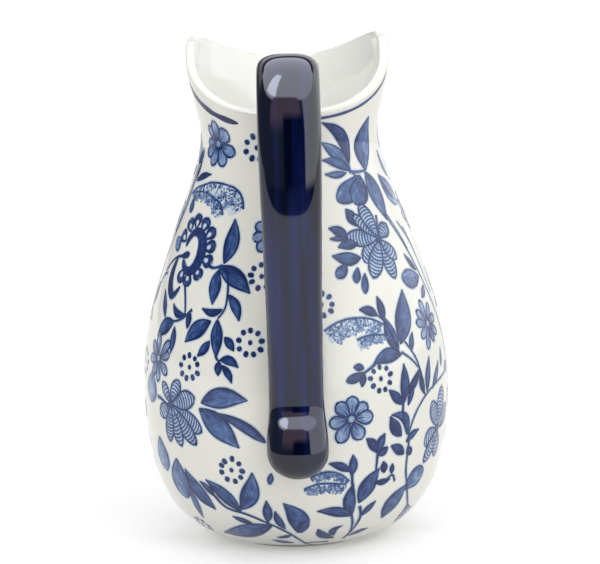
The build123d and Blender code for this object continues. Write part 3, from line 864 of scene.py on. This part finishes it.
def brush_piece(name, points, quads, uv, tones):
    """Piece in the brushwork's material, with its tones as a point attribute."""
    material = bpy.data.materials.get("cobalt_brushwork") or cobalt_brushwork()
    piece = make_object(name, points, quads, material, uv=uv)
    tone = piece.data.attributes.new("tone", "FLOAT", "POINT")
    tone.data.foreach_set("value", np.clip(tones, 0, 1).astype(np.float32))


# ---- line under the rim: it runs between these angles, lower and heavier toward the left ----
RIM_LINE_FROM = 18
RIM_LINE_TO = 327
RIM_LINE_POINTS = 400
RIM_LINE_BELOW = 1.9        # mm under the rim at the right
RIM_LINE_LOWER = 1.7        # and this much lower at the left
RIM_LINE_HEAVIER = 0.34     # added to its half width there
RIM_LINE_WAVER = 0.06       # waver of its half width, 23 waves round the jug
RIM_LINE_TIP = 7            # points over which it ends in a point


def rim_line_surface(thinnest):
    """Ribbon under the rim, thinnest millimetres wide at its start: height is the rim's less
    (below + v half_width) on the slant of the rim, v from -1 to 1. Gives points, uv and tones."""
    angle = np.linspace(RIM_LINE_FROM, RIM_LINE_TO, RIM_LINE_POINTS)
    below = RIM_LINE_BELOW + RIM_LINE_LOWER * np.clip((angle - 90) / 180, 0, 1)
    heavy = np.clip((angle - 200) / 90, 0, 1)
    waver = RIM_LINE_WAVER * np.sin(np.radians(angle) * 23) * (0.4 + heavy)
    half = thinnest / 2 + RIM_LINE_HEAVIER * heavy + waver
    half[-RIM_LINE_TIP:] *= np.sqrt(np.linspace(1, 0, RIM_LINE_TIP))
    rim = rim_height(angle)
    run = np.gradient(wall(angle, rim), axis=0)
    slant = np.linalg.norm(run, axis=1) / np.linalg.norm(run[:, :2], axis=1)
    across = np.linspace(-1, 1, 4)
    height = rim[:, None] - (below[:, None] + half[:, None] * across) * slant[:, None]
    point = wall(np.repeat(angle[:, None], 4, 1), height)
    outward = point * (1, 1, 0)
    point += 5 * LAYER * outward / np.linalg.norm(outward, axis=-1, keepdims=True)
    uv = np.stack(np.meshgrid(np.linspace(0, 1, RIM_LINE_POINTS), np.linspace(0, 1, 4), indexing="ij"), -1)
    tone = np.repeat((0.66 + 0.24 * heavy)[:, None], 4, 1) + 0.1 * across ** 2
    return point, uv, tone


def colour_setting(name, description, text):
    """Colour that a user can change, with an sRGB hex value as its default."""
    return bpy.props.FloatVectorProperty(name=name, description=description, default=linear(text)[:3],
                                         subtype="COLOR", size=3, min=0.0, max=1.0)


def factor_setting(name, description, low, high):
    """Factor that a user can change, 1 by default."""
    return bpy.props.FloatProperty(name=name, description=description, default=1.0, min=low, max=high,
                                   subtype="FACTOR")


class JugSettings(bpy.types.PropertyGroup):
    """What a user would change about the looks of the jug"""
    glaze: colour_setting("Glaze", "Colour of the glazed porcelain where the glaze is thin", "F0EEE5")
    glaze_thick: colour_setting("Thick glaze", "Colour of the porcelain where the glaze is thick", "E9E9E0")
    # painted light: the inside's colour is whiter than the glaze so that the inside looks lit
    glaze_inside_painted_light: colour_setting("Inside glaze", "Colour of the glaze inside the jug", "F7F7F2")
    handle_thin: colour_setting("Thin cobalt", "Colour of the handle where its glaze is thin", "122261")
    # painted shade: this colour also darkens the arch and the thumb end
    handle_thick_and_shaded: colour_setting("Thick cobalt", "Colour of the handle where its glaze is thick", "01041B")
    brush_dark: colour_setting("Loaded brush", "Darkest blue of the painted decoration", "101F4C")
    brush_pale: colour_setting("Thin wash", "Palest blue of the painted decoration", "DDE5E8")
    line_weight: factor_setting("Line weight", "Scales the width of every painted line", 0.3, 2.0)
    rim_line_width: bpy.props.FloatProperty(name="Rim line width", unit="LENGTH", subtype="DISTANCE",
                                            description="Width of the rim's line where it is thinnest",
                                            default=0.00076, min=0.0002, max=0.002)
    key_strength: factor_setting("Light strength", "Scales the lamps", 0.0, 4.0)


class JUG_OT_body(bpy.types.Operator):
    """Builds the glazed body with its rounded lip and hollow inside"""
    bl_idname = "jug.body"
    bl_label = "Glazed body"

    def execute(self, context):
        points, inner = body_surface()
        quads = grid_faces(*points.shape[:2], wrap_columns=True)
        piece = make_object("glazed_body", points, quads, glazed_porcelain())
        piece.data.attributes.new("inner", "FLOAT", "POINT").data.foreach_set("value", inner)
        weld(piece)
        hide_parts("jug_body")
        return {"FINISHED"}


class JUG_OT_handle(bpy.types.Operator):
    """Builds the cobalt strap handle"""
    bl_idname = "jug.handle"
    bl_label = "Strap handle"

    def execute(self, context):
        points = handle_surface()
        quads = grid_faces(*points.shape[:2], wrap_columns=True)
        piece = make_object("strap_handle", points, quads, cobalt_glaze())
        weld(piece)
        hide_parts("handle")
        return {"FINISHED"}


class JUG_OT_foot_ring(bpy.types.Operator):
    """Gives the bare foot ring its biscuit finish"""
    bl_idname = "jug.foot_ring"
    bl_label = "Foot ring"

    def execute(self, context):
        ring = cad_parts["foot_ring"]
        ring.data.materials.clear()
        ring.data.materials.append(bare_porcelain())
        return {"FINISHED"}


class JUG_OT_rim_line(bpy.types.Operator):
    """Paints the line that follows the rim, open at the handle"""
    bl_idname = "jug.rim_line"
    bl_label = "Rim line"

    def execute(self, context):
        points, uv, tones = rim_line_surface(context.scene.jug.rim_line_width / MM)
        brush_piece("rim_line", points, grid_faces(*points.shape[:2])[:, ::-1], uv, tones.ravel())
        return {"FINISHED"}


class JUG_OT_leaves(bpy.types.Operator):
    """Paints the leaves and buds"""
    bl_idname = "jug.leaves"
    bl_label = "Painted leaves"

    def execute(self, context):
        store = []
        for turn in TURNS:
            for blunt, leaves in ((True, BLUNT_LEAVES), (False, LEAVES)):
                for k, (a1, z1, a2, z2, width, bend, tone) in enumerate(leaves):
                    leaf(store, (a1 + turn, z1), (a2 + turn, z2), width, bend, tone, blunt, k % 4)
        painted("painted_leaves", store)
        return {"FINISHED"}


class JUG_OT_stems(bpy.types.Operator):
    """Paints the stems and hooked tendrils"""
    bl_idname = "jug.stems"
    bl_label = "Painted stems"

    def execute(self, context):
        store = []
        for turn in TURNS:
            for brush, marks in ((stem, STEMS), (hook, HOOKS)):
                for places, width, tone in marks:
                    brush(store, [(a + turn, z) for a, z in places], width, tone)
        painted("painted_stems", store)
        return {"FINISHED"}


class JUG_OT_daisies(bpy.types.Operator):
    """Paints the open daisies"""
    bl_idname = "jug.daisies"
    bl_label = "Painted daisies"

    def execute(self, context):
        store = []
        for turn in TURNS:
            for angle, height, eye, petals in DAISIES:
                daisy(store, angle + turn, height, eye, petals)
        painted("painted_daisies", store)
        return {"FINISHED"}


class JUG_OT_blossoms(bpy.types.Operator):
    """Paints the striped blossoms and the scalloped ring blossoms"""
    bl_idname = "jug.blossoms"
    bl_label = "Painted blossoms"

    def execute(self, context):
        store = []
        for turn in TURNS:
            for angle, height, petals in STRIPED:
                striped_blossom(store, angle + turn, height, petals)
            for angle, height in RING_BLOSSOMS:
                ring_blossom(store, angle + turn, height)
        painted("painted_blossoms", store)
        return {"FINISHED"}


class JUG_OT_dots(bpy.types.Operator):
    """Paints the rings of dabs"""
    bl_idname = "jug.dots"
    bl_label = "Painted dabs"

    def execute(self, context):
        store = []
        for turn in TURNS:
            for k, (angle, height, radius, count, heading) in enumerate(DOT_RINGS):
                dot_ring(store, angle + turn, height, radius, count, heading, seed=k + turn)
        painted("painted_dabs", store)
        return {"FINISHED"}


class JUG_OT_sprays(bpy.types.Operator):
    """Paints the feathery sprays"""
    bl_idname = "jug.sprays"
    bl_label = "Painted sprays"

    def execute(self, context):
        store = []
        for turn in TURNS:
            for arc, start, end, seed in SPRAYS:
                spray(store, [(a + turn, z) for a, z in arc], start, end, seed + turn)
        painted("painted_sprays", store)
        return {"FINISHED"}


# ---- stage, in metres ------------------------------------------------------------
CAMERA_AT = (0.0, -1.2, 0.28)
CAMERA_TARGET = (0.00173, 0.0, 0.06643)
CAMERA_LENS = 281.95
CAMERA_SENSOR = 36.0
CAMERA_ROLL = math.radians(-1.56)
TABLE_LEFT = -1.6
TABLE_RIGHT = 1.6
TABLE_FRONT = -0.425
TABLE_BACK = 1.8
ROOM_CENTRE = np.array([0.0, -0.05, 0.11])
ROOM_RADIUS = 2.6
# lamp: name, where it hangs, where it points, side of its square, watts, colour
LAMPS = [("window_right", (0.7, -0.9, 0.8), (0, 0, 0.07), 0.8, 2.2, (1.0, 0.99, 0.97)),
         ("ceiling", (0.1, -0.55, 1.15), (0, 0, 0.08), 0.9, 2.4, (1, 1, 1))]


def look_at(at, target, roll=0.0):
    """Matrix of something at a point, facing a target, turned by roll radians about its view."""
    turn = (Vector(target) - Vector(at)).to_track_quat("-Z", "Y").to_matrix().to_4x4()
    return Matrix.Translation(at) @ turn @ Matrix.Rotation(roll, 4, "Z")


def area_light(name, at, target, side, power, colour):
    """Square lamp that lights surfaces but isn't mirrored in gloss."""
    light = bpy.data.lights.new(name, "AREA")
    light.size = side
    light.energy = power
    light.color = colour
    lamp = bpy.data.objects.new(name, light)
    lamp.matrix_world = look_at(at, target)
    lamp.visible_glossy = False
    bpy.context.scene.collection.objects.link(lamp)


def white_table():
    """Table top ending in front of the jug. It takes the shadow and gives back plain bounce;
    to the eye and to gloss it also glows a little, so that it reads as white paper."""
    m = empty_nodes(bpy.data.materials.new("white_table"))
    path = node(m, "ShaderNodeLightPath")
    paper = node(m, "ShaderNodeBsdfDiffuse", _Color=(0.8, 0.8, 0.8, 1))
    glow = node(m, "ShaderNodeEmission", _Color=(1, 1, 1, 1), _Strength=0.3)
    both = node(m, "ShaderNodeAddShader", {0: (paper, 0), 1: (glow, 0)})
    mix = node(m, "ShaderNodeMixShader", {0: (path, "Is Diffuse Ray"), 1: (both, 0), 2: (paper, 0)})
    node(m, "ShaderNodeOutputMaterial", {"Surface": (mix, 0)})
    mesh = bpy.data.meshes.new("table")
    mesh.from_pydata([(TABLE_LEFT, TABLE_FRONT, 0), (TABLE_RIGHT, TABLE_FRONT, 0),
                      (TABLE_RIGHT, TABLE_BACK, 0), (TABLE_LEFT, TABLE_BACK, 0)], [], [(0, 1, 2, 3)])
    mesh.materials.append(m)
    return bpy.data.objects.new("table", mesh)


def window_pane(value, low, high, edge):
    """One inside low to high, falling to zero over edge beyond either end."""
    return np.clip((value - low) / edge + 1, 0, 1) * np.clip((high - value) / edge + 1, 0, 1)


def room_colours(across, up):
    """Light that comes from each direction of the room, by degrees across from the front,
    growing to the right, and degrees up. Each patch lies over the ones before it."""
    behind = 1 - window_pane(across, -112, 112, 8)
    hump = np.clip((49 - 20 * np.abs((across + 8) / 34) ** 4 - up) / 2, 0, 1)
    patches = [
        # the dim room in front
        ((0.8, 0.9, 1.2), 0.22, window_pane(across, -122, 22, 3) * window_pane(up, -90, 44, 3)),
        # the wall on the left, with something grey low on it
        ((1.0, 1.0, 1.0), 1.0, window_pane(across, -150, -112, 8) * window_pane(up, 26, 60, 14)),
        ((0.9, 0.9, 1.0), 0.25, window_pane(across, -176, -112, 4) * window_pane(up, -6, 16, 10)),
        # the bright wall on the right
        ((0.96, 1.0, 1.0), 2.3, window_pane(across, 24, 128, 2) * window_pane(up, -6, 60, 4)),
        # the ceiling, the shade under it at the back, and the window high on the left
        ((0.95, 0.95, 1.1), 3.8, window_pane(up, 44, 90, 2)),
        ((0.8, 0.8, 1.0), 0.2, window_pane(up, 38, 46, 2) * behind),
        ((0.9, 0.95, 1.1), 11.0, window_pane(across, -62, -24, 2) * window_pane(up, 49, 80, 2)),
        # something pale and rounded in front, with a dark shape under it, and the dark floor
        ((1.1, 0.8, 0.95), 0.85, hump * window_pane(across, -34, 14, 3) * window_pane(up, 24, 60, 12)),
        ((0.5, 0.7, 1.0), 0.03, window_pane(across, -4, 21, 2) * window_pane(up, -10, 22, 8)),
        ((0.7, 0.75, 1.0), 0.1, window_pane(up, -90, -7, 2))]
    light = np.ones((up.size, across.size, 3)) * (1.45, 1.45, 1.5)
    for colour, strength, cover in patches:
        light = light + cover[..., None] * (np.array(colour) * strength - light)
    return light


def reflected_room():
    """Sphere round the stage that only gloss sees: a plain room whose light is a point attribute.
    Point = centre + r (cos el sin az, -cos el cos az, sin el)."""
    across = np.linspace(-180, 180, 241)[None, :]
    up = np.linspace(-89.9, 89.9, 121)[:, None]
    az = np.radians(across)
    el = np.radians(up)
    point = np.stack([np.cos(el) * np.sin(az), -np.cos(el) * np.cos(az), np.sin(el) + 0 * az], -1)
    m = empty_nodes(bpy.data.materials.new("room_light"))
    value = node(m, "ShaderNodeAttribute", attribute_name="room")
    glow = node(m, "ShaderNodeEmission", {"Color": (value, "Color")}, _Strength=1.0)
    node(m, "ShaderNodeOutputMaterial", {"Surface": (glow, 0)})
    mesh = bpy.data.meshes.new("reflected_room")
    mesh.from_pydata((ROOM_CENTRE + ROOM_RADIUS * point).reshape(-1, 3), [],
                     grid_faces(*point.shape[:2]).tolist())
    mesh.materials.append(m)
    light = mesh.attributes.new("room", "FLOAT_VECTOR", "POINT")
    light.data.foreach_set("vector", room_colours(across, up).astype(np.float32).ravel())
    room = bpy.data.objects.new("reflected_room", mesh)
    room.visible_camera = False
    room.visible_diffuse = False
    room.visible_shadow = False
    room.visible_transmission = False
    return room


def soft_world():
    """Even daylight for the surfaces, plain white behind everything."""
    world = empty_nodes(bpy.data.worlds.new("soft_room"))
    path = node(world, "ShaderNodeLightPath")
    room = node(world, "ShaderNodeBackground", _Color=(1, 1, 1, 1), _Strength=0.86)
    white = node(world, "ShaderNodeBackground", _Color=(1, 1, 1, 1), _Strength=1.0)
    mix = node(world, "ShaderNodeMixShader", {0: (path, "Is Diffuse Ray"), 1: (white, 0), 2: (room, 0)})
    node(world, "ShaderNodeOutputWorld", {"Surface": (mix, 0)})
    return world


class JUG_OT_stage(bpy.types.Operator):
    """Sets the white table, the soft light and the camera"""
    bl_idname = "jug.stage"
    bl_label = "Stage"

    def execute(self, context):
        scene = context.scene
        camera = bpy.data.objects.new("camera", bpy.data.cameras.new("camera"))
        camera.data.lens = CAMERA_LENS
        camera.data.sensor_width = CAMERA_SENSOR
        camera.data.clip_start = 0.05
        camera.data.clip_end = 50
        camera.matrix_world = look_at(CAMERA_AT, CAMERA_TARGET, CAMERA_ROLL)
        scene.collection.objects.link(camera)
        scene.camera = camera
        for staged in (white_table(), reflected_room()):
            scene.collection.objects.link(staged)
        scene.world = soft_world()
        for name, at, target, side, power, colour in LAMPS:
            area_light(name, at, target, side, power * scene.jug.key_strength, colour)
        scene.view_settings.view_transform = "Standard"
        return {"FINISHED"}


class JUG_PT_panel(bpy.types.Panel):
    """Lists the pieces of the jug"""
    bl_label = "Cream jug"
    bl_idname = "JUG_PT_panel"
    bl_space_type = "VIEW_3D"
    bl_region_type = "UI"
    bl_category = "Jug"

    def draw(self, context):
        for name in JugSettings.__annotations__:
            self.layout.prop(context.scene.jug, name)
        for operator in OPERATORS:
            self.layout.operator(operator.bl_idname)


OPERATORS = (JUG_OT_stage, JUG_OT_body, JUG_OT_foot_ring, JUG_OT_handle, JUG_OT_rim_line, JUG_OT_leaves,
             JUG_OT_stems, JUG_OT_daisies, JUG_OT_blossoms, JUG_OT_dots, JUG_OT_sprays)
CLASSES = (JugSettings, *OPERATORS, JUG_PT_panel)


def register():
    """Makes the settings, the operators and the panel known to Blender."""
    for cls in CLASSES:
        bpy.utils.register_class(cls)
    bpy.types.Scene.jug = bpy.props.PointerProperty(type=JugSettings)


def unregister():
    """Takes them out again, last one first."""
    del bpy.types.Scene.jug
    for cls in reversed(CLASSES):
        bpy.utils.unregister_class(cls)


def main():
    """Builds every piece in order."""
    register()
    for operator in OPERATORS:
        group, name = operator.bl_idname.split(".")
        getattr(getattr(bpy.ops, group), name)()


if __name__ == "__main__":
    main()
